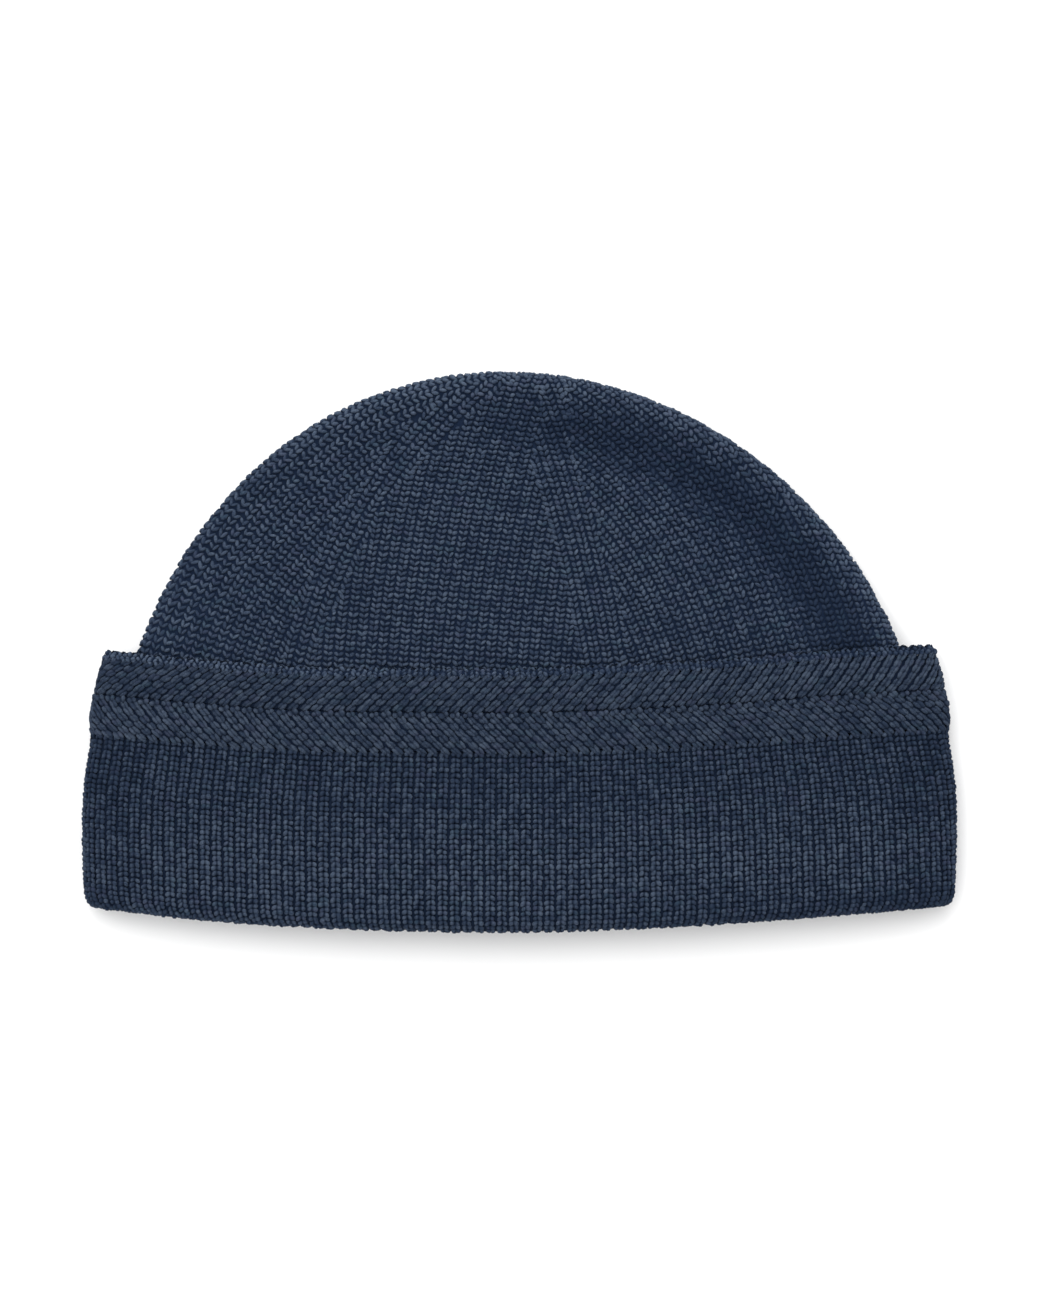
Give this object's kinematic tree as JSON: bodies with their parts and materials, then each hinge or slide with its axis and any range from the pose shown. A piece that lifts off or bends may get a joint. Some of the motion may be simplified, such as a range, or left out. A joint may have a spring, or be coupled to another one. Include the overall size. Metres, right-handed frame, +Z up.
{
  "type": "knitted fisherman beanie",
  "caption": "Navy knitted fisherman beanie with a ribbed turned-up cuff and a herringbone border, lying flat on its back.",
  "frame": {"origin": "centre of the bounding box in plan, on the surface that the hat lies on", "axes": "+X across the hat to the right as seen from above, +Y from the cuff's fold to the crown's tip, +Z up from the surface through the hat's back and front"},
  "size_m": [0.2272, 0.1461, 0.0221],
  "materials": {
    "crown": "navy knitted wool",
    "cuff_rib_band": "navy ribbed wool knit",
    "herringbone_lower_row": "navy wool, slanting strands",
    "herringbone_upper_row": "navy wool, slanting strands",
    "cast_off_edge": "navy wool edge stitches"
  },
  "bodies": {
    "root": {"crown": "crown", "cuff_rib_band": "cuff_rib_band", "herringbone_lower_row": "herringbone_lower_row", "herringbone_upper_row": "herringbone_upper_row", "cast_off_edge": "cast_off_edge"}
  },
  "joints": []
}
